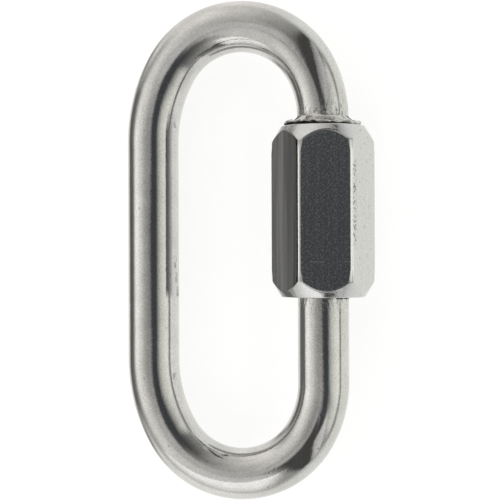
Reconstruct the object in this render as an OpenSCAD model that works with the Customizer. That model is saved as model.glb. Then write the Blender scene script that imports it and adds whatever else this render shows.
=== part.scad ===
// Oval chain quick link: a bent round wire whose gate is closed by a hexagonal sleeve nut.
// Millimetres. +Z is up, +Y runs along the link toward the stop collar, and the sleeve nut is on
// the +X leg. The link lies as it comes to rest: on one flat of the nut and on the plain leg.

/* [Wire] */
// Diameter of the round wire
wire_d = 10; // [8:0.5:12]
// Clear length inside the link, from bend to bend
inner_length = 77.6; // [66:0.2:110]
// Clear width inside the link, from leg to leg
inner_width = 23.5; // [19:0.1:30]
// How much tighter the arc at each end is than half the leg spacing
end_tightening = 1.25; // [0.8:0.05:2]
// Half of the angle that the tight arc turns through
end_half_angle = 60; // [45:1:70]
// How far both ends sit off the middle of the legs, toward the sleeve nut
end_shift = 0.6; // [0:0.05:0.75]

/* [Gate] */
// Gate opening between the two threaded ends
gate_opening = 11.5; // [9:0.1:14]
// Length of the threaded end that stands on the collar
upper_thread_length = 6.45; // [4:0.05:8]
// How far each threaded end stands out from the wire, measured at the pitch line
thread_rise = 0.5; // [0.3:0.05:0.8]
// Radial clearance between the threaded ends and the nut
thread_clearance = 0.05; // [0.02:0.01:0.1]
// Lead chamfer on the tip of each threaded end
lead_chamfer = 0.7; // [0.3:0.1:1]
// Length over which the lower thread runs out into the wire
thread_runout = 0.9; // [0.5:0.1:1.5]
// Length of plain wire that the closed nut covers below the lower thread
thread_cover = 2.4; // [1.5:0.1:4]

/* [Collar] */
// How far the stop collar reaches past the threaded end
collar_overhang = 1.9; // [1.5:0.1:2.5]
// Thickness of the collar at its rim
collar_thickness = 0.65; // [0.5:0.05:1.5]
// Chamfer on the rim of the collar
collar_chamfer = 0.15; // [0.05:0.05:0.2]
// Height of the cone between the collar and the wire
flare_height = 1.05; // [0.6:0.05:2]
// How far the cone spreads from the wire
flare_spread = 1.4; // [0.8:0.1:1.6]
// Space between the collar and the closed nut
collar_clearance = 0.15; // [0.1:0.05:0.3]

/* [Sleeve nut] */
// Length of the nut
nut_length = 33.2; // [28:0.1:40]
// Wall of the nut, from the bore to the middle of a flat
nut_wall = 3.3; // [2.5:0.1:4]
// How far the six corners are turned down
corner_turn = 0.1; // [0.05:0.01:0.2]
// How far the flat end ring lies inside the flats
face_inset = 0.85; // [0.5:0.05:1.2]
// Angle between the end cones and the axis
end_cone_angle = 32; // [25:1:45]
// Countersink at each mouth of the bore
mouth_chamfer = 0.6; // [0.3:0.1:1]

/* [Hidden] */
$fn = 96;

wire_r = wire_d / 2;
leg_spacing = inner_width + wire_d;
half_length = inner_length / 2 + wire_r;

// Each end is a tight arc with a wider shoulder arc on each side, tangent to the legs
end_r = leg_spacing / 2 - end_tightening;
end_y = half_length - end_r;
plain_reach = leg_spacing / 2 + end_shift;
gate_reach = leg_spacing / 2 - end_shift;
plain_shoulder_r = shoulder_r(plain_reach);
gate_shoulder_r = shoulder_r(gate_reach);
plain_leg_end = leg_end(plain_shoulder_r);
gate_leg_end = leg_end(gate_shoulder_r);

// Threaded ends, collar and nut share the axis of the gate leg
stud_r = wire_r + thread_rise;
bore_r = stud_r + thread_clearance;
mouth_r = bore_r + mouth_chamfer;
collar_r = stud_r + collar_overhang;
flare_r = wire_r + flare_spread;
collar_stack = collar_thickness + flare_height;
collar_y = gate_leg_end - collar_stack;
nut_top = collar_y - collar_clearance;
nut_low = nut_top - nut_length;
lower_tip = collar_y - upper_thread_length - gate_opening;
lower_root = nut_low + thread_cover;

// Hexagon of the nut, with its corners turned and its ends coned
hexagon_sides = 6;
flats = 2 * (bore_r + nut_wall);
hexagon_r = flats / 2 / cos(180 / hexagon_sides);
corner_r = hexagon_r - corner_turn;
face_r = flats / 2 - face_inset;
cone_length = (corner_r - face_r) / tan(end_cone_angle);

// Resting pose: the plain leg touches the ground beside the lower flat of the nut
lean = asin((flats / 2 - wire_r) / leg_spacing);
gate_x = (leg_spacing * cos(lean) + wire_r - corner_r) / 2;
gate_z = flats / 2;

plain_steel = [0.78, 0.78, 0.76];
machined_steel = [0.62, 0.63, 0.64];

// Radius of the shoulder arc between the tight arc and a leg that reaches this far
function shoulder_r(reach) = (reach - end_r * sin(end_half_angle)) / (1 - sin(end_half_angle));

// Where the straight part of a leg with this shoulder ends, from the middle of the link
function leg_end(radius) = end_y - (radius - end_r) * cos(end_half_angle);

// Moves a shape in a coarse and a fine step, so that arcs which meet keep all their digits
module set_at(place) {
    coarse = [for (distance = place) round(distance * 1000) / 1000];
    translate(coarse) translate(place - coarse) children();
}

// Sets a shape that was drawn along Z on the axis of the gate leg, with its foot at this height
module on_gate_axis(y) {
    set_at([0, y, 0]) rotate([-90, 0, 0]) children();
}

// Lays a shape that was drawn in the plane of the link down in its resting pose
module laid_down() {
    translate([gate_x, 0, gate_z]) rotate([0, -lean, 0]) children();
}

// Straight wire on the gate axis, from the bend at this height toward the middle of the link
module straight_wire(bend_y, length) {
    on_gate_axis(bend_y) rotate([180, 0, 0]) cylinder(r = wire_r, h = length);
}

// Bent wire round this centre, between two angles from +X
module bent_wire(centre, radius, from_angle, to_angle) {
    set_at(centre) rotate_extrude(angle = to_angle - from_angle, start = from_angle)
        set_at([radius, 0]) circle(r = wire_r);
}

// One end of the oval with its half of the plain leg, which runs on past the middle
module end_bend() {
    tight_from = 90 - end_half_angle;
    tight_to = 90 + end_half_angle;
    bent_wire([-gate_shoulder_r, gate_leg_end], gate_shoulder_r, 0, tight_from);
    bent_wire([-gate_reach, end_y], end_r, tight_from, tight_to);
    bent_wire([plain_shoulder_r - leg_spacing, plain_leg_end], plain_shoulder_r, tight_to, 180);
    translate([-leg_spacing, 0, 0]) straight_wire(plain_leg_end, plain_leg_end + wire_r);
}

// Stop collar with the cone that spreads from the wire, standing on z = 0
module stop_collar() {
    rotate_extrude() polygon([
        [0, 0],
        [collar_r - collar_chamfer, 0],
        [collar_r, collar_chamfer],
        [collar_r, collar_thickness - collar_chamfer],
        [collar_r - collar_chamfer, collar_thickness],
        [flare_r, collar_thickness],
        [wire_r, collar_stack],
        [0, collar_stack]
    ]);
}

// Threaded end as a plain round at its pitch line, from z = 0 up to its chamfered tip
module threaded_end(length) {
    rotate_extrude() polygon([
        [0, 0],
        [stud_r, 0],
        [stud_r, length - lead_chamfer],
        [stud_r - lead_chamfer, length],
        [0, length]
    ]);
}

// Cone by which a thread comes out of the wire at z = 0, drawn from as far inside the wire
module runout_cone() {
    translate([0, 0, -thread_runout])
        cylinder(r1 = wire_r - thread_rise, r2 = stud_r, h = 2 * thread_runout);
}

// Round outline that turns the corners and cones the ends of the nut
module turned_outline() {
    rotate_extrude() polygon([
        [0, 0],
        [face_r, 0],
        [corner_r, cone_length],
        [corner_r, nut_length - cone_length],
        [face_r, nut_length],
        [0, nut_length]
    ]);
}

// Bore through the nut with a countersink at each mouth
module nut_bore() {
    rotate_extrude() polygon([
        [0, 0],
        [mouth_r, 0],
        [bore_r, mouth_chamfer],
        [bore_r, nut_length - mouth_chamfer],
        [mouth_r, nut_length],
        [0, nut_length]
    ]);
}

// The bent wire with its collar and both threaded ends, one piece of steel
module link_body() {
    lower_wire = gate_leg_end + lower_root + thread_runout / 2;
    lower_stud_y = lower_root + thread_runout;
    color(plain_steel) laid_down() {
        end_bend();
        mirror([0, 1, 0]) end_bend();
        on_gate_axis(collar_y) stop_collar();
        on_gate_axis(collar_y) rotate([180, 0, 0]) threaded_end(upper_thread_length);
        mirror([0, 1, 0]) straight_wire(gate_leg_end, lower_wire);
        on_gate_axis(lower_root) runout_cone();
        on_gate_axis(lower_stud_y) threaded_end(lower_tip - lower_stud_y);
    }
}

// The hexagonal sleeve nut that runs on both threaded ends
module sleeve_nut() {
    color(machined_steel) translate([gate_x, 0, gate_z]) on_gate_axis(nut_low) difference() {
        intersection() {
            cylinder(r = hexagon_r, h = nut_length, $fn = hexagon_sides);
            turned_outline();
        }
        nut_bore();
    }
}

link_body();
sleeve_nut();
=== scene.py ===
import math

import bmesh
import bpy
import numpy as np
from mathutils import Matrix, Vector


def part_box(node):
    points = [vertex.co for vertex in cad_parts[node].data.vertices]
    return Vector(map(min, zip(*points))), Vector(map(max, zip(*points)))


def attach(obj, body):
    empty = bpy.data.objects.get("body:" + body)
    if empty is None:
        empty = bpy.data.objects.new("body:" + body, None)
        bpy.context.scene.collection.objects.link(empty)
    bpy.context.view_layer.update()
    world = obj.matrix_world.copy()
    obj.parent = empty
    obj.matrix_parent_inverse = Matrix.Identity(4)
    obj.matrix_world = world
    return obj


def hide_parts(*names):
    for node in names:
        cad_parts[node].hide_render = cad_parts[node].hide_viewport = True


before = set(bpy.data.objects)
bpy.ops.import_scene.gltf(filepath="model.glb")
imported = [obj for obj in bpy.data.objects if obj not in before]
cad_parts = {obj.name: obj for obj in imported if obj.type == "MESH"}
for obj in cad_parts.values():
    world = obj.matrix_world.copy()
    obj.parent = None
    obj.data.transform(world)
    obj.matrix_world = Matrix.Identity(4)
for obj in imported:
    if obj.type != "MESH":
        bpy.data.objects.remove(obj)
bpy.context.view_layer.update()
scene = bpy.context.scene
mm = 0.001
linkLow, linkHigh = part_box("link_body")
nutLow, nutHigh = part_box("sleeve_nut")
print("frame loaded:", ", ".join(sorted(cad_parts)))

# the axis that the sleeve screws along, and the thread that it shares with both ends of the wire
gate = {
    "x": (nutLow.x + nutHigh.x) / 2,
    "z": (nutLow.z + nutHigh.z) / 2,
    "pitch": 1.5 * mm,
    "rootFlat": 0.2,          # share of half a pitch that the bottom of the groove takes
    "crestFlat": 0.125,
}
# the wire that the link is bent from
wire = {
    "radius": 5 * mm,
    "endRadius": 15.5 * mm,   # round of each end, at the middle of the wire
    "endTurn": 60,            # degrees that round takes to each side of its apex
    "endShift": 0.6 * mm,     # ends sit this far toward the gate
    "step": 0.8 * mm,         # between rings along the wire
    "sides": 96,
    "wander": 0.006 * mm,     # slight waves that polishing leaves
    "wanderScale": 260.0,
    "seed": 3.0,              # of the waves and of the burr on the collar
    "marksFade": 1.6 * mm,    # tool marks fade out over this length of wire
}


# node helpers, for geometry and shader trees alike
def plug(tree, value, socket):
    if isinstance(value, bpy.types.NodeSocket):
        tree.links.new(value, socket)
    else:
        socket.default_value = value


def addNode(tree, kind, values=None, **settings):
    node = tree.nodes.new(kind)
    for name, setting in settings.items():
        setattr(node, name, setting)
    for name, value in (values or {}).items():
        plug(tree, value, node.inputs[name])
    return node


def calc(tree, operation, *values):
    return addNode(tree, "ShaderNodeMath", dict(enumerate(values)), operation=operation).outputs[0]


def times(tree, product, *others):
    for other in others:
        product = calc(tree, "MULTIPLY", product, other)
    return product


def calcVector(tree, operation, *values):
    node = addNode(tree, "ShaderNodeVectorMath", dict(enumerate(values)), operation=operation)
    return node.outputs["Vector"]


def scaled(tree, vector, factor):
    node = addNode(tree, "ShaderNodeVectorMath", {0: vector, "Scale": factor}, operation="SCALE")
    return node.outputs["Vector"]


def span(tree, value, low, high, toLow=0.0, toHigh=1.0):
    values = {"Value": value, 1: low, 2: high, 3: toLow, 4: toHigh}
    return addNode(tree, "ShaderNodeMapRange", values).outputs["Result"]


def band(tree, value, middle, outer, inner, share=1.0):
    # whole within the inner distance from the middle, and nothing past the outer one
    distance = calc(tree, "ABSOLUTE", calc(tree, "SUBTRACT", value, middle))
    return span(tree, distance, outer, inner, 0.0, share)


def parted(tree, vector):
    return addNode(tree, "ShaderNodeSeparateXYZ", {"Vector": vector}).outputs


def combined(tree, x, y, z):
    return addNode(tree, "ShaderNodeCombineXYZ", {"X": x, "Y": y, "Z": z}).outputs["Vector"]


# steel finishes; a pair in their values says where a mark ends and where it is whole, in noise or in length
def noiseOf(tree, vector, scale, detail=2.0, rough=0.5):
    values = {"Vector": vector, "Scale": scale, "Detail": detail, "Roughness": rough}
    return addNode(tree, "ShaderNodeTexNoise", values).outputs["Fac"]


def stretchedBy(tree, vector, stretch):
    return addNode(tree, "ShaderNodeMapping", {"Vector": vector, "Scale": stretch}).outputs["Vector"]


def attributeOf(tree, name, output="Fac"):
    return addNode(tree, "ShaderNodeAttribute", attribute_name=name).outputs[output]


def mixColour(tree, factor, first, second):
    node = addNode(tree, "ShaderNodeMix", data_type="RGBA")
    plug(tree, factor, node.inputs["Factor"])
    plug(tree, first, node.inputs[6])
    plug(tree, second, node.inputs[7])
    return node.outputs[2]


def bumpOver(tree, height, distance, under=None):
    node = addNode(tree, "ShaderNodeBump", {"Height": height, "Distance": distance, "Strength": 1.0})
    if under is not None:
        tree.links.new(under, node.inputs["Normal"])
    return node.outputs["Normal"]


def newSteel(name):
    material = bpy.data.materials.new(name)
    material.use_nodes = True
    shader = material.node_tree.nodes["Principled BSDF"]
    shader.inputs["Metallic"].default_value = 1.0
    return material, material.node_tree, shader


tumbledSteel = {
    "light": (0.745, 0.735, 0.71, 1),
    "shade": (0.55, 0.54, 0.52, 1),
    "pit": (0.20, 0.19, 0.18, 1),
    # painted shade: the near black colour of the collar's creases, the flanks of the wire's foot and the
    # sleeve's mouth
    "creaseShade": (0.025, 0.024, 0.023, 1),
    "roughLow": 0.06,
    "roughHigh": 0.10,
    "tones": (0.35, 0.65),       # noise of the darkest steel and of the lightest
    "grainShare": 0.7,           # of the tone; the rest is mottle
    "grainScale": 3400,          # about 0.3 mm between grains
    "grainHeight": 0.007 * mm,
    "mottleScale": 240,
    "waveScale": 650,            # soft dents that tumbling leaves
    "waveHeight": 0.012 * mm,
    "drawScale": 2400,           # drawing lines that run along the wire
    "drawStretch": 0.05,
    "drawHeight": 0.003 * mm,
    "pitScale": 520,
    "pitSize": (0.16, 0.06),     # shares of a cell, at the rim of a pit and at its floor
    "pitHeight": 0.03 * mm,
    "pitShade": 0.8,
    "pitRough": 0.25,
    "scatterScale": 130,
    "scatter": (0.56, 0.7),
    "markScale": 1800,           # tool marks beside the collar and the sleeve
    "markStretch": 0.45,
    "marks": (0.49, 0.66),
    # dings on the inner side of the plain leg, in millimetres: x, y and half the length; then the share
    "dings": [(-14.85, -2.3, 1.4, 1.0), (-14.65, -5.3, 1.3, 0.6), (-14.4, -8.1, 1.3, 1.0)],
    "dingWidth": (0.3 * mm, 0.12 * mm),
    "dingCore": 0.6,             # share of the length that is whole
    "dingRise": 0.5 * mm,        # they start on the middle of the wire and are whole this far above it
    "dingBreaks": (0.42, 0.54),
    # painted shade in the creases of the collar, with less of it past the axis of the gate
    "creaseShadeScale": 300,
    "creaseShadeBreaks": (0.42, 0.5),
    "creaseShadeLeast": 0.2,
    "shadeEnd": (2.2 * mm, 1.2 * mm),
    "shadeRest": 0.25,
    "shadeRough": 0.6,
    "shadeShare": 0.85,           # of the foot and the ring that follow
    # painted shade on both flanks of the wire's foot: heights above the sleeve, their fades, distances from
    # the axis
    "foot": (0.75 * mm, 2.0 * mm),
    "footFade": (0.1 * mm, 0.3 * mm),
    "footDepth": (2.9 * mm, 2.03 * mm),
    "footReach": (8 * mm, 7 * mm),
    # painted shade in a ring where the sleeve ends on the lower leg, from just inside the axis outward
    "ringAt": nutLow.y - 0.12 * mm,
    "ringWidth": (0.3 * mm, 0.12 * mm),
    "ringFrom": (-1.5 * mm, -0.3 * mm),
    "ringBreaks": (0.38, 0.48),
}


def makeTumbledSteel(spec):
    material, tree, shader = newSteel("tumbled_steel")
    place = addNode(tree, "ShaderNodeTexCoord").outputs["Object"]
    x, y, z = parted(tree, place)[:3]
    across = calc(tree, "SUBTRACT", x, gate["x"])
    drawn = attributeOf(tree, "drawn", "Vector")
    along = stretchedBy(tree, drawn, (1, 1, spec["drawStretch"]))
    lines = noiseOf(tree, along, spec["drawScale"], 3, 0.6)
    dabbed = stretchedBy(tree, drawn, (1, 1, spec["markStretch"]))
    dabs = noiseOf(tree, dabbed, spec["markScale"], 3, 0.6)
    grain = noiseOf(tree, place, spec["grainScale"], 3, 0.6)
    mottle = noiseOf(tree, place, spec["mottleScale"], 3, 0.55)
    waves = noiseOf(tree, place, spec["waveScale"], 1)

    # pits are scattered thinly, and tool marks lie where the wire meets the collar and the sleeve
    cells = addNode(tree, "ShaderNodeTexVoronoi", {"Vector": place, "Scale": spec["pitScale"]})
    scatter = span(tree, noiseOf(tree, place, spec["scatterScale"], 1), *spec["scatter"])
    pits = times(tree, span(tree, cells.outputs["Distance"], *spec["pitSize"]), scatter)
    tooled = times(tree, span(tree, dabs, *spec["marks"]), attributeOf(tree, "marks"))
    worn = calc(tree, "MAXIMUM", pits, tooled)
    axisZ = linkLow.z + wire["radius"]
    upper = span(tree, z, axisZ, axisZ + spec["dingRise"])
    broken = times(tree, span(tree, dabs, *spec["dingBreaks"]), upper)
    for dingX, dingY, half, share in spec["dings"]:
        beside = band(tree, x, dingX * mm, *spec["dingWidth"])
        length = band(tree, y, dingY * mm, half * mm, spec["dingCore"] * half * mm, share)
        worn = calc(tree, "MAXIMUM", worn, times(tree, beside, length, broken))

    # painted shade fills the creases in broken stretches
    creases = noiseOf(tree, place, spec["creaseShadeScale"])
    filled = span(tree, creases, *spec["creaseShadeBreaks"], spec["creaseShadeLeast"], 1.0)
    inner = span(tree, across, *spec["shadeEnd"], spec["shadeRest"], 1.0)
    paintedShade = times(tree, attributeOf(tree, "creaseShade"), filled, inner)
    low, high = (nutHigh.y + height for height in spec["foot"])
    lowFade, highFade = spec["footFade"]
    foot = times(tree, span(tree, y, low, low + lowFade), span(tree, y, high, high - highFade))
    flank = band(tree, z, gate["z"], *spec["footDepth"], spec["shadeShare"])
    flank = times(tree, flank, band(tree, across, 0.0, *spec["footReach"]))
    paintedShade = calc(tree, "MAXIMUM", paintedShade, times(tree, foot, flank))
    ring = band(tree, y, spec["ringAt"], *spec["ringWidth"], spec["shadeShare"])
    ring = times(tree, ring, span(tree, across, *spec["ringFrom"]), span(tree, dabs, *spec["ringBreaks"]))
    paintedShade = calc(tree, "MAXIMUM", paintedShade, ring)

    mottled = times(tree, mottle, 1 - spec["grainShare"])
    tone = calc(tree, "ADD", mottled, times(tree, grain, spec["grainShare"]))
    steel = mixColour(tree, span(tree, tone, *spec["tones"]), spec["shade"], spec["light"])
    steel = mixColour(tree, times(tree, worn, spec["pitShade"]), steel, spec["pit"])
    plug(tree, mixColour(tree, paintedShade, steel, spec["creaseShade"]), shader.inputs["Base Color"])
    # the painted shade is dull and no metal, so it stays dark
    shader.inputs["Specular IOR Level"].default_value = 0.0
    plug(tree, calc(tree, "SUBTRACT", 1.0, paintedShade), shader.inputs["Metallic"])
    rough = span(tree, tone, *spec["tones"], spec["roughLow"], spec["roughHigh"])
    roughWearAndShade = calc(tree, "ADD", times(tree, worn, spec["pitRough"]), times(tree, paintedShade, spec["shadeRough"]))
    plug(tree, calc(tree, "ADD", rough, roughWearAndShade), shader.inputs["Roughness"])
    normal = bumpOver(tree, waves, spec["waveHeight"])
    normal = bumpOver(tree, lines, spec["drawHeight"], normal)
    normal = bumpOver(tree, grain, spec["grainHeight"], normal)
    normal = bumpOver(tree, calc(tree, "SUBTRACT", 1.0, worn), spec["pitHeight"], normal)
    plug(tree, normal, shader.inputs["Normal"])
    return material


# distances across the sleeve are from its axis
milledSteel = {
    "light": (0.70, 0.695, 0.675, 1),
    "shade": (0.615, 0.615, 0.605, 1),
    "nick": (0.16, 0.155, 0.15, 1),
    "cornerHighlight": (0.93, 0.93, 0.91, 1),      # painted highlight along the corners
    "cornerHighlightRough": 0.4,                   # share of the roughness that is left there
    "roughLow": 0.10,
    "roughHigh": 0.18,
    "tones": (0.2, 0.6),                  # noise of the darkest steel and of the lightest
    "brushShare": 0.55,                   # of the tone; the rest is specks
    "brushScale": 1300,                   # milling lines along the sleeve
    "brushStretch": 0.03,
    "brushHeight": 0.014 * mm,
    "streaks": (0.48, 0.64),              # some milling lines are rougher
    "streakRough": 0.012,
    "speckScale": 2600,
    "specks": (0.5, 0.68),
    "speckHeight": 0.0055 * mm,
    # painted shade: darker streaks on the flats towards -X
    "sideShade": (0.39, 0.38, 0.36, 1),        # streaks on the flats towards -X
    "sideShadeAt": (-4.5 * mm, -4.9 * mm),
    "sideShadeScale": 800,
    "sideShadeStreaks": (0.36, 0.62),
    "sideShadeTilt": (0.25, 0.1),              # a face that looks further toward an end has none
    # nicks in a row beside the corner between the upper flat and the one on +X: its middle and reach
    "nickX": 5.6 * mm,
    "nickRow": (0.5 * mm, 0.15 * mm),
    "nickY": 9 * mm,
    "nickReach": (9 * mm, 7 * mm),
    "nickRise": 2 * mm,                   # none below the axis, and all of them this far above it
    "nickScale": 1900,
    "nicks": (0.50, 0.58),
    "nickShade": 0.95,
    "nickHeight": 0.04 * mm,
    "mottleScale": 300,
    "nickBreaks": (0.40, 0.48),
    # faint flecks over that flat on +X
    "fleckAt": (5.8 * mm, 6.2 * mm),
    "fleckScale": 1500,
    "flecks": (0.6, 0.68),
    "fleckShare": 0.3,
    # the one long scratch across the flats
    "scratchAt": -2.3 * mm,
    "scratchWidth": (0.05 * mm, 0.0),
    "scratchScale": 420,
    "scratchBreaks": (0.45, 0.55),
    "scratchRough": 0.3,
}


def makeMilledSteel(spec):
    material, tree, shader = newSteel("milled_steel")
    place = addNode(tree, "ShaderNodeTexCoord").outputs["Object"]
    x, y, z = parted(tree, place)[:3]
    across = calc(tree, "SUBTRACT", x, gate["x"])
    along = stretchedBy(tree, place, (1, spec["brushStretch"], 1))
    brush = noiseOf(tree, along, spec["brushScale"], 4, 0.65)
    specks = span(tree, noiseOf(tree, place, spec["speckScale"], 2, 0.65), *spec["specks"])

    upper = span(tree, z, gate["z"], gate["z"] + spec["nickRise"])
    beside = band(tree, across, spec["nickX"], *spec["nickRow"])
    reach = band(tree, y, spec["nickY"], *spec["nickReach"])
    dents = span(tree, noiseOf(tree, place, spec["nickScale"], 2, 0.6), *spec["nicks"])
    mottle = noiseOf(tree, place, spec["mottleScale"])
    nicks = times(tree, beside, reach, upper, dents, span(tree, mottle, *spec["nickBreaks"]))
    flecks = noiseOf(tree, place, spec["fleckScale"], 2, 0.6)
    flecks = span(tree, flecks, *spec["flecks"], 0.0, spec["fleckShare"])
    flecks = times(tree, flecks, span(tree, across, *spec["fleckAt"]), upper)
    nicks = calc(tree, "MAXIMUM", nicks, flecks)
    broken = span(tree, noiseOf(tree, place, spec["scratchScale"], 1), *spec["scratchBreaks"])
    scratch = times(tree, band(tree, y, spec["scratchAt"], *spec["scratchWidth"]), broken)

    specked = times(tree, specks, 1 - spec["brushShare"])
    tone = calc(tree, "ADD", times(tree, brush, spec["brushShare"]), specked)
    steel = mixColour(tree, span(tree, tone, *spec["tones"]), spec["shade"], spec["light"])
    # the painted shade lies on the flats alone, not on the cones
    facing = addNode(tree, "ShaderNodeNewGeometry").outputs["Normal"]
    flats = span(tree, calc(tree, "ABSOLUTE", parted(tree, facing)[1]), *spec["sideShadeTilt"])
    streaks = span(tree, noiseOf(tree, along, spec["sideShadeScale"], 4, 0.6), *spec["sideShadeStreaks"])
    sideShaded = times(tree, span(tree, across, *spec["sideShadeAt"]), flats, streaks)
    steel = mixColour(tree, sideShaded, steel, spec["sideShade"])
    # painted highlight: lighter, smoother steel along the corners
    corner = attributeOf(tree, "corner")
    steel = mixColour(tree, corner, steel, spec["cornerHighlight"])
    steel = mixColour(tree, times(tree, nicks, spec["nickShade"]), steel, spec["nick"])
    plug(tree, steel, shader.inputs["Base Color"])
    rough = span(tree, tone, *spec["tones"], spec["roughLow"], spec["roughHigh"])
    rough = calc(tree, "ADD", rough, span(tree, brush, *spec["streaks"], 0.0, spec["streakRough"]))
    rough = times(tree, rough, span(tree, corner, 0.0, 1.0, 1.0, spec["cornerHighlightRough"]))
    rough = calc(tree, "ADD", rough, times(tree, scratch, spec["scratchRough"]))
    plug(tree, rough, shader.inputs["Roughness"])
    normal = bumpOver(tree, brush, spec["brushHeight"])
    normal = bumpOver(tree, specks, spec["speckHeight"], normal)
    normal = bumpOver(tree, calc(tree, "SUBTRACT", 1.0, nicks), spec["nickHeight"], normal)
    plug(tree, normal, shader.inputs["Normal"])
    return material


wireSteel = makeTumbledSteel(tumbledSteel)
sleeveSteel = makeMilledSteel(milledSteel)
print("finishes made")

# bent link: from the upper threaded end over the collar and round both ends to the lower threaded end
stud = {
    "upperLength": 6.45 * mm,
    "lowerLength": 13.0 * mm,
    "opening": 11.5 * mm,     # between the two threaded ends
    "rootRadius": 5.08 * mm,
    "height": 0.87 * mm,
    "rows": 14,               # rings to a turn of thread
    "lead": 1.0 * mm,         # thread grows to its full height over this length
    "tip": [(4.55, 0.0), (4.72, 0.02), (4.95, 0.16), (5.08, 0.40)],   # radius, distance from the end
}
collar = {
    "under": nutHigh.y + 0.15 * mm,       # lower face, clear of the sleeve
    "studGap": 0.02 * mm,                 # the rings of the thread end this far below it
    "step": 0.09 * mm,
    "hair": 0.001,                        # rise for each length of outline, so that the path always moves on
    # radius and height above the lower face, in millimetres, then share of the burr and of the painted shade
    # in the creases
    "outline": [
        (5.08, 0.0, 0, 0.5), (6.6, 0.0, 0, 0.5), (7.05, 0.03, 0.6, 1), (7.3, 0.12, 0.9, 1),
        (7.38, 0.3, 1, 0.8), (7.36, 0.4, 1, 0.1), (7.24, 0.55, 1, 0), (7.06, 0.68, 1, 0),
        (6.88, 0.7, 1, 0.1), (6.7, 0.56, 0.9, 0.6), (6.5, 0.48, 0.5, 1), (6.36, 0.56, 0.3, 0.5),
        (6.28, 0.68, 0.2, 0),
    ],
    "marks": 0.3,                         # share of the tool marks
    "burrHeight": 0.8 * mm,
    "burrScale": 540.0,
    "burrLift": 0.12,                     # share of its height that the burr curls upward
    "burrFloor": nutHigh.y + 0.03 * mm,   # lowest place that it folds down to
    "flare": (6.28, 0.68, 1.70),          # radius and height where it starts, height where it ends
    "flareBend": 1.25,                    # 1 is a straight cone
    "flareShares": np.linspace(0.08, 1, 12),   # places of its rings
    "flareMarks": 0.7,
}


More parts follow.
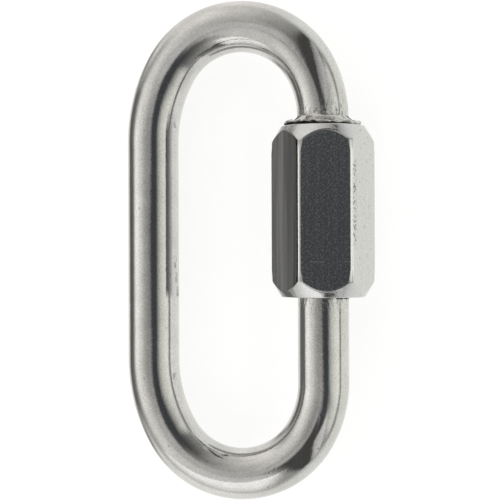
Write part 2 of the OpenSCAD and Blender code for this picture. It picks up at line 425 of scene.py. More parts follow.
def wirePath():
    plainX = linkLow.x + wire["radius"]
    plainZ = linkLow.z + wire["radius"]
    legSpan = math.hypot(gate["x"] - plainX, gate["z"] - plainZ)
    lean = math.atan2(gate["z"] - plainZ, gate["x"] - plainX)
    endX = wire["endShift"] - legSpan / 2
    endY = linkHigh.y - wire["radius"] - wire["endRadius"]
    turn = math.radians(wire["endTurn"])
    rows = []

    # one ring of the wire; x is from the gate's axis, in the plane of the link
    def ring(x, y, girth=wire["radius"], thread=0.0, burr=0.0, marks=0.0, creaseShade=0.0):
        return x, y, girth, thread, burr, marks, creaseShade

    def shoulder(reach):
        radius = (reach - wire["endRadius"] * math.sin(turn)) / (1 - math.sin(turn))
        return radius, (radius - wire["endRadius"]) * math.cos(turn)

    def addArc(centreX, centreY, radius, start, stop):
        count = max(2, round(abs(stop - start) * radius / wire["step"]))
        for k in range(1, count + 1):
            angle = start + (stop - start) * k / count
            rows.append(ring(centreX + radius * math.cos(angle), centreY + radius * math.sin(angle)))

    def addLine(x, start, stop, marksAt=None):
        count = max(2, round(abs(stop - start) / wire["step"]))
        for k in range(1, count + 1):
            y = start + (stop - start) * k / count
            marks = 0.0 if marksAt is None else math.exp(-max(0.0, marksAt - y) / wire["marksFade"])
            rows.append(ring(x, y, marks=marks))

    def studRings(tipY, rootY, rootGirth):
        length = abs(rootY - tipY)
        count = round(length / gate["pitch"] * stud["rows"])
        tipRadius, tipReach = np.array(stud["tip"]).T * mm
        rings = []
        for reach in sorted(set(np.linspace(0, length, count + 1)) | set(tipReach)):
            girth = np.interp(reach, tipReach, tipRadius)
            fromRoot = length - reach
            if fromRoot < stud["lead"]:
                girth = np.interp(fromRoot, (0, stud["lead"]), (rootGirth, girth))
            growth = min(1.0, min(reach, fromRoot) / stud["lead"])
            rings.append(ring(0.0, tipY + math.copysign(reach, rootY - tipY), girth, growth))
        return rings

    upperTip = collar["under"] - stud["upperLength"]
    lowerTip = upperTip - stud["opening"]
    lowerRoot = lowerTip - stud["lowerLength"]
    gateRadius, gateDrop = shoulder(-endX)
    plainRadius, plainDrop = shoulder(legSpan + endX)
    rows.extend(studRings(upperTip, collar["under"] - collar["studGap"], stud["rootRadius"]))
    outline = np.array(collar["outline"]) * (mm, mm, 1, 1)
    lengths = np.r_[0, np.cumsum(np.hypot(*np.diff(outline[:, :2], axis=0).T))]
    for place in np.linspace(0, lengths[-1], round(lengths[-1] / collar["step"]) + 1):
        girth, height, burr, creaseShade = (np.interp(place, lengths, column) for column in outline.T)
        y = collar["under"] + height + place * collar["hair"]
        rows.append(ring(0.0, y, girth, burr=burr, marks=collar["marks"], creaseShade=creaseShade))
    flareRadius, flareFoot, flareTop = (size * mm for size in collar["flare"])
    for share in collar["flareShares"]:
        girth = wire["radius"] + (flareRadius - wire["radius"]) * (1 - share) ** collar["flareBend"]
        y = collar["under"] + flareFoot + (flareTop - flareFoot) * share
        rows.append(ring(0.0, y, girth, marks=collar["flareMarks"]))
    wireStart = len(rows)
    addArc(-gateRadius, endY - gateDrop, gateRadius, 0, math.pi / 2 - turn)
    addArc(endX, endY, wire["endRadius"], math.pi / 2 - turn, math.pi / 2 + turn)
    addArc(plainRadius - legSpan, endY - plainDrop, plainRadius, math.pi / 2 + turn, math.pi)
    addLine(-legSpan, endY - plainDrop, plainDrop - endY)
    addArc(plainRadius - legSpan, plainDrop - endY, plainRadius, math.pi, 1.5 * math.pi - turn)
    addArc(endX, -endY, wire["endRadius"], 1.5 * math.pi - turn, 1.5 * math.pi + turn)
    addArc(-gateRadius, gateDrop - endY, gateRadius, 1.5 * math.pi + turn, 2 * math.pi)
    addLine(0.0, gateDrop - endY, lowerRoot, marksAt=nutLow.y)
    rows.extend(studRings(lowerTip, lowerRoot, wire["radius"])[::-1][1:])

    x, y, girth, thread, burr, marks, creaseShade = np.array(rows).T
    centres = np.stack([gate["x"] + x * math.cos(lean), y, gate["z"] + x * math.sin(lean)], 1)
    run = np.r_[0, np.cumsum(np.linalg.norm(np.diff(centres, axis=0), axis=1))]
    # the tool marks at the collar run on a little way up the bend
    reach = run - run[wireStart]
    onBend = (reach >= 0) & (reach < 10 * wire["marksFade"])
    marks = np.maximum(marks, np.where(onBend, np.exp(-reach / wire["marksFade"]), 0))
    shares = {"run": run, "girth": girth, "thread": thread, "burr": burr, "marks": marks, "creaseShade": creaseShade}
    return centres, shares


def linkTree():
    tree = bpy.data.node_groups.new("bent_link_sweep", "GeometryNodeTree")
    inputs = {
        "Geometry": "Geometry", "Sides": "Int", "Wire Radius": "Float", "Wander": "Float",
        "Wander Scale": "Float", "Seed": "Float", "Axis X": "Float", "Axis Z": "Float", "Pitch": "Float",
        "Thread Height": "Float", "Burr Height": "Float", "Burr Scale": "Float", "Burr Lift": "Float",
        "Burr Floor": "Float", "Finish": "Material",
    }
    for label, kind in inputs.items():
        tree.interface.new_socket(label, in_out="INPUT", socket_type="NodeSocket" + kind)
    tree.interface.new_socket("Geometry", in_out="OUTPUT", socket_type="NodeSocketGeometry")
    given = tree.nodes.new("NodeGroupInput").outputs
    position = tree.nodes.new("GeometryNodeInputPosition").outputs["Position"]

    def named(name, kind="FLOAT"):
        node = addNode(tree, "GeometryNodeInputNamedAttribute", {"Name": name}, data_type=kind)
        return node.outputs["Attribute"]

    def stored(geometry, name, vector):
        values = {"Geometry": geometry, "Name": name, "Value": vector}
        node = addNode(tree, "GeometryNodeStoreNamedAttribute", values,
                       data_type="FLOAT_VECTOR", domain="POINT")
        return node.outputs["Geometry"]

    def passed(geometry, kind, **values):
        return addNode(tree, "GeometryNode" + kind, {"Geometry": geometry, **values}).outputs["Geometry"]

    def seededNoise(scale, detail):
        values = {"Vector": position, "W": given["Seed"], "Scale": scale, "Detail": detail}
        return addNode(tree, "ShaderNodeTexNoise", values, noise_dimensions="4D").outputs

    path = addNode(tree, "GeometryNodeMeshToCurve", {"Mesh": given["Geometry"]}).outputs["Curve"]
    circle = {"Resolution": given["Sides"], "Radius": 1.0}
    profile = addNode(tree, "GeometryNodeCurvePrimitiveCircle", circle).outputs["Curve"]
    profile = stored(profile, "rim", position)
    sweep = {"Curve": path, "Profile Curve": profile, "Scale": named("girth"), "Fill Caps": True}
    skin = addNode(tree, "GeometryNodeCurveToMesh", sweep).outputs["Mesh"]
    # the helix: where each point lies within its turn of thread
    outward = calcVector(tree, "SUBTRACT", position, named("centre", "FLOAT_VECTOR"))
    outward = calcVector(tree, "NORMALIZE", outward)
    x, y, z = parted(tree, position)[:3]
    aside = calc(tree, "SUBTRACT", x, given["Axis X"])
    above = calc(tree, "SUBTRACT", z, given["Axis Z"])
    turned = calc(tree, "DIVIDE", calc(tree, "ARCTAN2", aside, above), 2 * math.pi)
    turns = calc(tree, "SUBTRACT", calc(tree, "DIVIDE", y, given["Pitch"]), turned)
    within = calc(tree, "MULTIPLY_ADD", calc(tree, "FRACT", turns), 2.0, -1.0)
    slope = calc(tree, "SUBTRACT", 1.0, calc(tree, "ABSOLUTE", within))
    ridge = span(tree, slope, gate["rootFlat"], 1 - gate["crestFlat"])
    thread = times(tree, ridge, given["Thread Height"], named("thread"))
    # the waves only ever take metal away
    waves = seededNoise(given["Wander Scale"], 1.0)["Fac"]
    lift = calc(tree, "SUBTRACT", thread, times(tree, waves, given["Wander"]))
    # the burr curls upward for the most part, and folds down almost as far as the sleeve
    crumple = seededNoise(given["Burr Scale"], 3.0)["Color"]
    crumple = calcVector(tree, "MULTIPLY_ADD", crumple, (2, 2, 2), (-1, -1, -1))
    reach = times(tree, given["Burr Height"], named("burr"))
    burrX, burrY, burrZ = parted(tree, scaled(tree, crumple, reach))[:3]
    curl = calc(tree, "MULTIPLY_ADD", reach, given["Burr Lift"], burrY)
    curl = calc(tree, "MAXIMUM", curl, calc(tree, "SUBTRACT", given["Burr Floor"], y))
    curl = times(tree, curl, calc(tree, "GREATER_THAN", reach, 0.0))
    burr = combined(tree, burrX, curl, burrZ)
    offset = calcVector(tree, "ADD", scaled(tree, outward, lift), burr)
    skin = passed(skin, "SetPosition", Offset=offset)
    # the finish's drawing lines go by the place round the wire and along it
    rimX, rimY = parted(tree, scaled(tree, named("rim", "FLOAT_VECTOR"), given["Wire Radius"]))[:2]
    skin = stored(skin, "drawn", combined(tree, rimX, rimY, named("run")))
    skin = passed(skin, "SetShadeSmooth")
    skin = passed(skin, "RealizeInstances")
    skin = passed(skin, "SetMaterial", Material=given["Finish"])
    tree.links.new(skin, tree.nodes.new("NodeGroupOutput").inputs["Geometry"])
    return tree


def grow(name, mesh, tree, values):
    piece = bpy.data.objects.new(name, mesh)
    scene.collection.objects.link(piece)
    modifier = piece.modifiers.new("grow", "NODES")
    modifier.node_group = tree
    for item in tree.interface.items_tree:
        if item.in_out == "INPUT" and item.name in values:
            modifier[item.identifier] = values[item.name]
    depsgraph = bpy.context.evaluated_depsgraph_get()
    finished = piece.evaluated_get(depsgraph)
    grown = bpy.data.meshes.new_from_object(finished, preserve_all_data_layers=True, depsgraph=depsgraph)
    piece.modifiers.remove(modifier)
    piece.data = grown
    grown.name = name
    return piece


def faceOutward(piece):
    work = bmesh.new()
    work.from_mesh(piece.data)
    if work.calc_volume(signed=True) < 0:
        bmesh.ops.reverse_faces(work, faces=work.faces)
    work.to_mesh(piece.data)
    work.free()


def makeLink():
    centres, shares = wirePath()
    line = bpy.data.meshes.new("wire_path")
    line.from_pydata(centres.tolist(), [(k, k + 1) for k in range(len(centres) - 1)], [])
    for name, share in shares.items():
        line.attributes.new(name, "FLOAT", "POINT").data.foreach_set("value", share.astype(np.float32))
    middle = line.attributes.new("centre", "FLOAT_VECTOR", "POINT")
    middle.data.foreach_set("vector", centres.astype(np.float32).ravel())
    values = {
        "Sides": wire["sides"],
        "Wire Radius": wire["radius"],
        "Wander": wire["wander"],
        "Wander Scale": wire["wanderScale"],
        "Seed": wire["seed"],
        "Axis X": gate["x"],
        "Axis Z": gate["z"],
        "Pitch": gate["pitch"],
        "Thread Height": stud["height"],
        "Burr Height": collar["burrHeight"],
        "Burr Scale": collar["burrScale"],
        "Burr Lift": collar["burrLift"],
        "Burr Floor": collar["burrFloor"],
        "Finish": wireSteel,
    }
    piece = grow("bent_link", line, linkTree(), values)
    faceOutward(piece)
    return piece


bentLink = makeLink()
print("bent link:", len(bentLink.data.polygons), "faces")

# sleeve nut: rounded hexagon, coned at both ends, threaded all through
sleeve = {
    "cornerRound": 0.85 * mm,
    "cornerWear": 1.5 * mm,       # the corners' rounding where they run out into the cones
    "wearReach": 2.2 * mm,
    "faceInset": 0.7 * mm,        # end face is this much smaller than the flats, all round
    "coneAngle": 30.8,
    "coneShares": (0.06, 0.3, 0.6, 0.94),   # places of the rows on the cone
    "faceRound": 0.28 * mm,
    "flatConeRound": 0.9 * mm,    # where a flat runs into the cone
    "cornerConeRound": 1.2 * mm,  # where a corner does
    "roundRows": 7,
    "mouthRadius": 6.15 * mm,
    "boreCrest": 5.19 * mm,
    "boreDepth": 0.84 * mm,
    "flatColumns": 15,
    "cornerColumns": 6,
    "support": 0.05 * mm,         # extra column that keeps each flat flat to its edge
    "wallRows": 48,
    "boreRows": 12,               # to a turn of thread
}


def hexColumns(flat, cornerRound):
    columns = []
    half = (flat - cornerRound) * math.tan(math.radians(30))
    inset = half - sleeve["support"]
    across = np.r_[-half, np.linspace(-inset, inset, sleeve["flatColumns"]), half]
    for side in range(6):
        facing = math.radians(60 * side)
        outward = np.array([math.sin(facing), math.cos(facing)])
        sideways = np.array([math.cos(facing), -math.sin(facing)])
        columns.extend(outward * flat + sideways * place for place in across)
        corner = outward * (flat - cornerRound) + sideways * half
        for k in range(1, sleeve["cornerColumns"]):
            turn = math.radians(60 * k / sleeve["cornerColumns"])
            columns.append(corner + cornerRound * (outward * math.cos(turn) + sideways * math.sin(turn)))
    return np.array(columns)


def coneRows(radius, faceRadius, coneRound):
    # from the end face over the cone to the wall: radius and depth, for one column
    cone = math.radians(sleeve["coneAngle"])
    faceRound = sleeve["faceRound"]
    inset = faceRound * math.tan((math.pi / 2 - cone) / 2)
    rows = [(faceRadius - inset + faceRound * math.sin(turn), faceRound * (1 - math.cos(turn)))
            for turn in np.linspace(0, math.pi / 2 - cone, sleeve["roundRows"])]
    meet = (radius - faceRadius) / math.tan(cone)
    cut = coneRound * math.tan(cone / 2)
    rim = np.array(rows[-1])
    start = np.array([radius - cut * math.sin(cone), meet - cut * math.cos(cone)])
    rows.extend(tuple(rim + (start - rim) * share) for share in sleeve["coneShares"])
    middle = start + coneRound * np.array([-math.cos(cone), math.sin(cone)])
    rows.extend((middle[0] + coneRound * math.cos(turn), middle[1] - coneRound * math.sin(turn))
                for turn in np.linspace(cone, 0, sleeve["roundRows"]))
    return rows


def makeSleeve():
    flat = (nutHigh.z - nutLow.z) / 2
    length = nutHigh.y - nutLow.y
    columns = hexColumns(flat, sleeve["cornerRound"])
    wornColumns = hexColumns(flat, sleeve["cornerWear"])
    perSide = len(columns) // 6
    faceRadius = flat - sleeve["faceInset"]
    farthest = np.hypot(*wornColumns.T).max()
    coneRounds = (sleeve["flatConeRound"], sleeve["cornerConeRound"])
    mouth = sleeve["mouthRadius"]
    boreCount = round(length / gate["pitch"] * sleeve["boreRows"])
    points = []
    cornerHighlight = []
    for i, (column, worn) in enumerate(zip(columns, wornColumns)):
        onCorner = float(i % perSide > sleeve["flatColumns"] + 1)
        radius = math.hypot(*worn)
        direction = worn / radius
        angle = math.atan2(*direction)
        coneRound = np.interp(radius, (flat, farthest), coneRounds)
        end = [(mouth, 0.0), (mouth + sleeve["support"], 0.0)] + coneRows(radius, faceRadius, coneRound)
        endDepth = end[-1][1]
        place = [(*(direction * r), nutHigh.y - depth) for r, depth in end]
        highlightShare = [0.0] * len(end)
        for k in range(1, sleeve["wallRows"]):
            depth = endDepth + (length - 2 * endDepth) * k / sleeve["wallRows"]
            share = min(1.0, min(depth - endDepth, length - endDepth - depth) / sleeve["wearReach"])
            share = share * share * (3 - 2 * share)
            place.append((*(worn + (column - worn) * share), nutHigh.y - depth))
            highlightShare.append(onCorner * share)
        place.extend((*(direction * r), nutLow.y + depth) for r, depth in reversed(end))
        for k in range(1, boreCount):
            y = nutLow.y + length * k / boreCount
            within = (y / gate["pitch"] - angle / (2 * math.pi)) % 1
            slope = 1 - abs(2 * within - 1)
            ridge = np.interp(slope, (gate["rootFlat"], 1 - gate["crestFlat"]), (0, 1))
            depth = min(y - nutLow.y, nutHigh.y - y)
            bore = max(sleeve["boreCrest"] + sleeve["boreDepth"] * ridge, mouth - depth)
            place.append((*(direction * bore), y))
        points.append([(gate["x"] + x, y, gate["z"] + z) for x, z, y in place])
        cornerHighlight.extend(highlightShare + [0.0] * (len(place) - len(highlightShare)))
    wide = len(points)
    tall = len(points[0])
    verts = [point for column in points for point in column]
    faces = []
    for i in range(wide):
        for j in range(tall):
            nextI = (i + 1) % wide
            nextJ = (j + 1) % tall
            faces.append((i * tall + j, i * tall + nextJ, nextI * tall + nextJ, nextI * tall + j))
    mesh = bpy.data.meshes.new("hex_sleeve")
    mesh.from_pydata(verts, [], faces)
    mesh.polygons.foreach_set("use_smooth", [True] * len(faces))
    mesh.materials.append(sleeveSteel)
    # the corners carry the share of the painted highlight
    mesh.attributes.new("corner", "FLOAT", "POINT").data.foreach_set("value", cornerHighlight)
    piece = bpy.data.objects.new("hex_sleeve", mesh)
    scene.collection.objects.link(piece)
    faceOutward(piece)
    return piece


hexSleeve = makeSleeve()
print("sleeve:", len(hexSleeve.data.polygons), "faces")

# studio: pale floor, a soft dome that is dark straight overhead, and a camera looking straight down
studio = {
    "floorSize": 3.0,
    "floorGap": 0.02 * mm,    # between the object and the floor
    "floorTone": (0.55, 0.55, 0.545, 1),
    "floorRough": 0.9,
    "floorGlow": 0.75,
    "dark": (0.064, 0.069, 0.077),
    # which part of the dome lies where, in degrees round from +X
    "round": [
        (-180, "left"), (-161, "leftSide"), (-145, "leftCorner"), (-128, "near"), (-102, "near"),
        (-80, "nearRight"), (-66, "gapSide"), (-54, "gap"), (-40, "gap"), (-30, "rightSide"),
        (-25, "rightSide"), (-10, "right"), (10, "right"), (25, "rightSide"), (30, "rightSide"),
        (40, "gap"), (54, "gap"), (66, "gapSide"), (78, "farRight"), (95, "far"), (110, "farLeft"),
        (128, "farLeft"), (145, "leftCorner"), (161, "leftSide"), (180, "left"),
    ],
}
# parts of the dome: tint, degrees from straight up where the dark ends, then degrees and brightness there
dome = {
    "right": [
        (0.985, 1.0, 0.955), 15, (19.5, 0.22), (25.5, 0.45), (33, 0.67), (43, 0.84), (57, 0.98), (64, 1.06),
        (69.5, 1.04), (73, 0.74), (75, 0.34), (79.5, 0.32), (83, 0.74), (86, 0.94), (150, 0.97), (180, 0.9),
    ],
    "rightSide": [
        (0.985, 1.0, 0.955), 20, (25, 0.17), (30, 0.3), (36, 0.44), (42, 0.56), (48, 0.68), (55, 0.8),
        (65, 0.86), (71, 0.74), (75, 0.38), (80, 0.34), (85, 0.62), (91, 0.93), (150, 0.97), (180, 0.9),
    ],
    "gap": [
        (0.985, 1.0, 0.985), 22, (30, 0.1), (39, 0.14), (46, 0.18), (54, 0.24), (62, 0.28), (70, 0.3),
        (77, 0.5), (84, 0.76), (92, 0.88), (102, 0.95), (180, 0.9),
    ],
    "gapSide": [
        (0.985, 1.0, 0.98), 8, (14, 0.13), (24, 0.1), (33, 0.16), (39, 0.2), (46, 0.25), (54, 0.3),
        (62, 0.34), (70, 0.38), (79, 0.56), (87, 0.78), (96, 0.9), (180, 0.9),
    ],
    "farRight": [
        (1.0, 0.985, 0.96), 7, (12, 0.18), (22, 0.2), (27, 0.25), (33, 0.31), (39, 0.36), (46, 0.4),
        (54, 0.45), (62, 0.5), (70, 0.56), (80, 0.6), (90, 0.68), (102, 0.93), (180, 0.9),
    ],
    "far": [
        (1.0, 0.985, 0.96), 6, (11, 0.25), (18, 0.29), (22, 0.32), (27, 0.37), (33, 0.43), (39, 0.5),
        (46, 0.58), (54, 0.63), (62, 0.71), (70, 0.74), (84, 0.78), (98, 0.8), (108, 0.98), (120, 1.05),
        (180, 0.9),
    ],
    "farLeft": [
        (1.0, 0.985, 0.96), 5, (9, 0.32), (14, 0.42), (18, 0.48), (22, 0.51), (27, 0.57), (33, 0.6),
        (39, 0.64), (46, 0.71), (54, 0.8), (62, 0.88), (70, 0.95), (90, 0.97), (102, 0.9), (180, 0.9),
    ],
    "nearRight": [
        (1.0, 1.0, 0.985), 7, (12, 0.18), (27, 0.19), (33, 0.25), (39, 0.4), (46, 0.5), (54, 0.56),
        (62, 0.57), (70, 0.52), (80, 0.48), (90, 0.65), (102, 0.92), (180, 0.9),
    ],
    "near": [
        (1.0, 1.0, 0.985), 5, (9, 0.38), (14, 0.57), (20, 0.68), (30, 0.74), (44, 0.75), (60, 0.76),
        (80, 0.77), (87, 0.72), (93, 0.85), (99, 1.05), (180, 0.9),
    ],
    "leftCorner": [
        (1.0, 0.99, 0.965), 5, (9, 0.34), (14, 0.56), (18, 0.64), (27, 0.7), (33, 0.73), (39, 0.78),
        (46, 0.82), (54, 0.87), (62, 0.9), (70, 0.86), (80, 0.65), (90, 0.56), (98, 0.56), (105, 0.85),
        (122, 0.9), (130, 0.35), (150, 0.35), (158, 0.9), (180, 0.9),
    ],
    "leftSide": [
        (1.0, 0.99, 0.965), 7, (11, 0.3), (14, 0.44), (22, 0.44), (27, 0.48), (33, 0.55), (39, 0.63),
        (46, 0.75), (54, 0.84), (62, 0.91), (70, 0.97), (80, 0.95), (90, 0.6), (102, 0.25), (125, 0.15),
        (134, 0.5), (143, 0.95), (180, 0.9),
    ],
    "left": [
        (1.0, 0.99, 0.965), 10, (14, 0.17), (20, 0.31), (32, 0.42), (42, 0.55), (53, 0.82), (64, 0.99),
        (75, 1.26), (86, 1.22), (93, 0.72), (100, 0.28), (108, 0.15), (125, 0.12), (134, 0.45), (143, 0.95),
        (180, 0.9),
    ],
}
# reflection cards; they show in reflections alone, and only from the side that they face
cards = {
    "rimFade": 0.8 * mm,
    # the two over the ends: across, outward from the apex of the wire, height
    "endSpan": (-46 * mm, 6 * mm),
    "endReach": (-9 * mm, 9 * mm),
    "endHeight": 48 * mm,
    "endFade": (12 * mm, 4 * mm),
    "farTone": 0.64,
    "nearTone": 0.56,
    # the two inside the ends, dark sheets of painted shade for the link's inside: from the apex of the wire,
    # half the width, heights
    "innerBack": 20 * mm,
    "innerHalf": 13 * mm,
    "farInner": (0.2 * mm, 6.4 * mm),
    "nearInner": (3.5 * mm, 8.6 * mm),
    "innerTone": 0.36,
    # over the bends on the gate's side, dark up to a slanted edge and bright past it: its x, y and turn
    "farEdge": (15.5 * mm, 38 * mm, 55),
    "nearEdge": (22.3 * mm, -51.5 * mm, -52),
    "edgeLength": 100 * mm,
    "edgeHeight": 47.8 * mm,
    "edgeFade": 5 * mm,
    # place along the edge, then distance across it, brightness and cover
    "farDark": [-14 * mm, (-17, 0.1, 0), (-11, 0.075, 1), (-0.3, 0.075, 1), (0.3, 0.075, 0)],
    "nearDark": [-22 * mm, (-23, 0.1, 0), (-16, 0.075, 1), (-0.3, 0.075, 1), (0.3, 0.075, 0)],
    "farBright": [
        -3 * mm, (-0.3, 0.3, 0), (0.3, 0.3, 1), (4, 0.4, 1), (8, 0.53, 1), (12, 0.63, 1), (18, 0.75, 0),
    ],
    "nearBright": [
        -3 * mm, (-0.3, 0.45, 0), (0.3, 0.45, 1), (3, 0.62, 1), (8, 0.72, 1), (13, 0.78, 1), (18, 0.85, 0),
    ],
    # the tall one in front of the near end: x and height of its upper edge, height and brightness
    "panelAt": -127 * mm,
    "panelEdge": [(-150, 40), (26, 181)],
    "panel": [(14, 0.76), (34, 0.96), (60, 1.2), (190, 1.3)],
    "panelFade": (24 * mm, 9 * mm),
    "slantFade": 2 * mm,
    # the upright ones between the legs: a pair that faces the gate and a pair that faces the plain leg; the
    # dark ones are painted shade beside the legs and the sleeve
    "aside": 14 * mm,         # from the sleeve's axis
    "apart": 0.1 * mm,        # from one card to the next
    "legReach": 34 * mm,
    "legFade": 9 * mm,
    "leg": (4.0 * mm, 11.6 * mm, 0.17),      # lower edge, upper edge and brightness of a long one
    "plain": (1.0 * mm, 10.8 * mm, 0.95),
    # the short ones in front of those, as long as the sleeve: height and brightness
    "sleeve": [(0, 0.19), (7.5, 0.19), (9.0, 0.29), (10.5, 0.21), (12.4, 0.16), (13.0, 0.02), (20.0, 0.02)],
    "shade": [
        (1, 0.95), (4.2, 0.92), (6.3, 0.78), (8.3, 0.54), (10.2, 0.38), (12.1, 0.25), (14, 0.16), (19, 0.11),
    ],
}
lens = {
    "height": 300 * mm,       # above the sleeve's axis
    "x": -0.19 * mm,
    "roll": -0.2,
    "focalPixels": 1540,
    "imagePixels": 500,
    "sensor": 36.0,
    "clipStart": 5 * mm,
    "clipEnd": 20,
}


def rampOf(tree, place, stops):
    node = addNode(tree, "ShaderNodeValToRGB", {"Fac": place})
    elements = node.color_ramp.elements
    while len(elements) < len(stops):
        elements.new(1.0)
    for element, (position, colour) in zip(elements, stops):
        element.position = position
        element.color = colour
    return node.outputs


def makeDome():
    world = bpy.data.worlds.new("soft_dome")
    scene.world = world
    world.use_nodes = True
    tree = world.node_tree
    background = tree.nodes["Background"]
    x, y, z = parted(tree, addNode(tree, "ShaderNodeTexCoord").outputs["Generated"])[:3]
    fromTop = calc(tree, "DIVIDE", calc(tree, "ARCCOSINE", z), math.pi)
    turned = calc(tree, "DEGREES", calc(tree, "ARCTAN2", y, x))
    glows = {}
    for name, (tint, darkEnd, *levels) in dome.items():
        stops = [(darkEnd / 180, (*studio["dark"], 1))]
        stops.extend((degrees / 180, (*(tone * part for part in tint), 1)) for degrees, tone in levels)
        glows[name] = rampOf(tree, fromTop, stops)["Color"]
    # each part runs into the next one round the dome
    lastTurn, lastName = studio["round"][0]
    total = glows[lastName]
    for turn, name in studio["round"][1:]:
        total = mixColour(tree, span(tree, turned, lastTurn, turn), total, glows[name])
        lastTurn = turn
    plug(tree, total, background.inputs["Color"])


def makeCard(name, low, high, facing, fades, graded, stops, edge=None, at=(0, 0, 0)):
    # a flat card between two corners that fades out at its sides; its brightness follows the stops along
    # one axis, and an edge of two points, x and height, cuts an upright card off aslant
    thin = [a == b for a, b in zip(low, high)].index(True)
    first, second = [axis for axis in range(3) if axis != thin]
    corners = []
    for a, b in ((0, 0), (1, 0), (1, 1), (0, 1)):
        corner = list(low)
        corner[first] = (low, high)[a][first]
        corner[second] = (low, high)[b][second]
        corners.append(corner)
    if (facing < 0) != (thin == 1):
        corners.reverse()
    mesh = bpy.data.meshes.new(name)
    mesh.from_pydata(corners, [], [(0, 1, 2, 3)])
    material = bpy.data.materials.new(name)
    material.use_nodes = True
    tree = material.node_tree
    tree.nodes.clear()
    place = parted(tree, addNode(tree, "ShaderNodeTexCoord").outputs["Object"])
    start = stops[0][0]
    length = stops[-1][0] - start
    tones = []
    for level, tone, *cover in stops:
        tones.append(((level - start) / length, (tone, tone, tone, cover[0] if cover else 1)))
    shown = rampOf(tree, span(tree, place[graded], start, start + length), tones)
    behind = addNode(tree, "ShaderNodeNewGeometry").outputs["Backfacing"]
    solid = times(tree, calc(tree, "SUBTRACT", 1.0, behind), shown["Alpha"])
    for axis, fade in zip((first, second), fades):
        for end, inward in ((low[axis], 1), (high[axis], -1)) if fade else ():
            solid = times(tree, solid, span(tree, place[axis], end, end + inward * fade))
    if edge:
        (startX, startZ), (endX, endZ) = edge
        top = span(tree, place[0], startX, endX, startZ, endZ)
        under = calc(tree, "SUBTRACT", top, place[2])
        solid = times(tree, solid, span(tree, under, 0.0, cards["slantFade"]))
    glow = addNode(tree, "ShaderNodeEmission", {"Color": shown["Color"]})
    clear = addNode(tree, "ShaderNodeBsdfTransparent")
    mixed = addNode(tree, "ShaderNodeMixShader", {0: solid, 1: clear.outputs[0], 2: glow.outputs[0]})
    tree.links.new(mixed.outputs[0], addNode(tree, "ShaderNodeOutputMaterial").inputs["Surface"])
    mesh.materials.append(material)
    card = bpy.data.objects.new(name, mesh)
    scene.collection.objects.link(card)
    x, y, turn = at
    card.location = (x, y, 0)
    card.rotation_euler.z = math.radians(turn)
    for ray in ("camera", "diffuse", "transmission", "volume_scatter", "shadow"):
        setattr(card, "visible_" + ray, False)


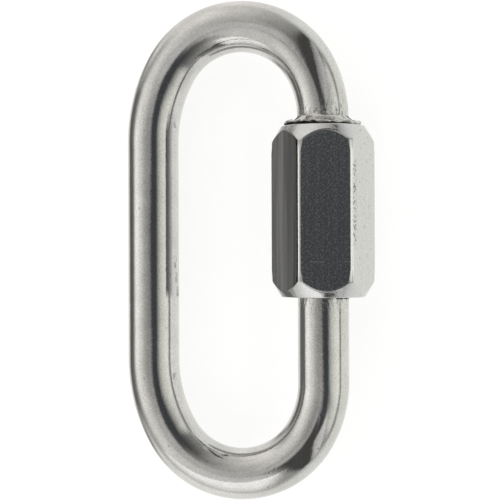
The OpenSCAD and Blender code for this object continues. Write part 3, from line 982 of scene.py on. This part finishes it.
def makeCards():
    apex = linkHigh.y - wire["radius"]
    rim = cards["rimFade"]
    for name, side in (("far", 1), ("near", -1)):
        y = side * (apex - cards["innerBack"])
        half = cards["innerHalf"]
        low, high = cards[name + "Inner"]
        stops = [(-half, cards["innerTone"]), (half, cards["innerTone"])]
        makeCard(name + "InnerCard", (-half, y, low), (half, y, high), side, (half / 2, rim), 0, stops)
        height = cards["edgeHeight"]
        for part in ("Dark", "Bright"):
            start, *across = cards[name + part]
            stops = sorted((-side * place * mm, tone, cover) for place, tone, cover in across)
            low = (start, stops[0][0], height)
            high = (cards["edgeLength"], stops[-1][0], height)
            fades = (cards["edgeFade"], 0)
            makeCard(name + part + "Card", low, high, -1, fades, 1, stops, at=cards[name + "Edge"])
        left, right = cards["endSpan"]
        near, far = sorted(side * (apex + reach) for reach in cards["endReach"])
        low = (left, near, cards["endHeight"])
        high = (right, far, cards["endHeight"])
        stops = [(left, cards[name + "Tone"]), (right, cards[name + "Tone"])]
        makeCard(name + "EndCard", low, high, -1, cards["endFade"], 0, stops)
    edge = [(across * mm, level * mm) for across, level in cards["panelEdge"]]
    stops = [(level * mm, tone) for level, tone in cards["panel"]]
    low = (edge[0][0], cards["panelAt"], stops[0][0])
    high = (edge[1][0], cards["panelAt"], stops[-1][0])
    makeCard("nearPanel", low, high, 1, cards["panelFade"], 2, stops, edge)
    reach = cards["legReach"]
    x = gate["x"] - cards["aside"]
    for longName, shortName, facing in (("leg", "sleeve", 1), ("plain", "shade", -1)):
        bottom, top, tone = cards[longName]
        stops = [(-reach, tone), (reach, tone)]
        fades = (cards["legFade"], rim)
        makeCard(longName + "Card", (x, -reach, bottom), (x, reach, top), facing, fades, 1, stops)
        stops = [(level * mm, tone) for level, tone in cards[shortName]]
        front = x + facing * cards["apart"]
        low = (front, nutLow.y - rim, bottom)
        high = (front, nutHigh.y + rim, stops[-1][0])
        makeCard(shortName + "Card", low, high, facing, (2 * rim, rim), 2, stops)
        x -= cards["apart"]


def makeFloor():
    half = studio["floorSize"] / 2
    mesh = bpy.data.meshes.new("floor")
    corners = [(-half, -half, 0), (half, -half, 0), (half, half, 0), (-half, half, 0)]
    mesh.from_pydata(corners, [], [(0, 1, 2, 3)])
    material = bpy.data.materials.new("pale_floor")
    material.use_nodes = True
    shader = material.node_tree.nodes["Principled BSDF"]
    shader.inputs["Base Color"].default_value = studio["floorTone"]
    shader.inputs["Roughness"].default_value = studio["floorRough"]
    shader.inputs["Emission Color"].default_value = (1, 1, 1, 1)
    shader.inputs["Emission Strength"].default_value = studio["floorGlow"]
    mesh.materials.append(material)
    floor = bpy.data.objects.new("floor", mesh)
    scene.collection.objects.link(floor)
    floor.location.z = min(linkLow.z, nutLow.z) - studio["floorGap"]
    floor.visible_glossy = False


def makeCamera():
    data = bpy.data.cameras.new("camera")
    data.sensor_width = lens["sensor"]
    data.lens = lens["focalPixels"] / lens["imagePixels"] * lens["sensor"]
    data.clip_start = lens["clipStart"]
    data.clip_end = lens["clipEnd"]
    camera = bpy.data.objects.new("camera", data)
    scene.collection.objects.link(camera)
    camera.location = (lens["x"], 0, gate["z"] + lens["height"])
    camera.rotation_euler = (0, 0, math.radians(lens["roll"]))
    scene.camera = camera


makeDome()
makeCards()
makeFloor()
makeCamera()
scene.view_settings.view_transform = "Standard"
print("studio set")

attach(bentLink, "link")
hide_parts("link_body")
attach(hexSleeve, "nut")
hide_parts("sleeve_nut")

print("pieces placed")
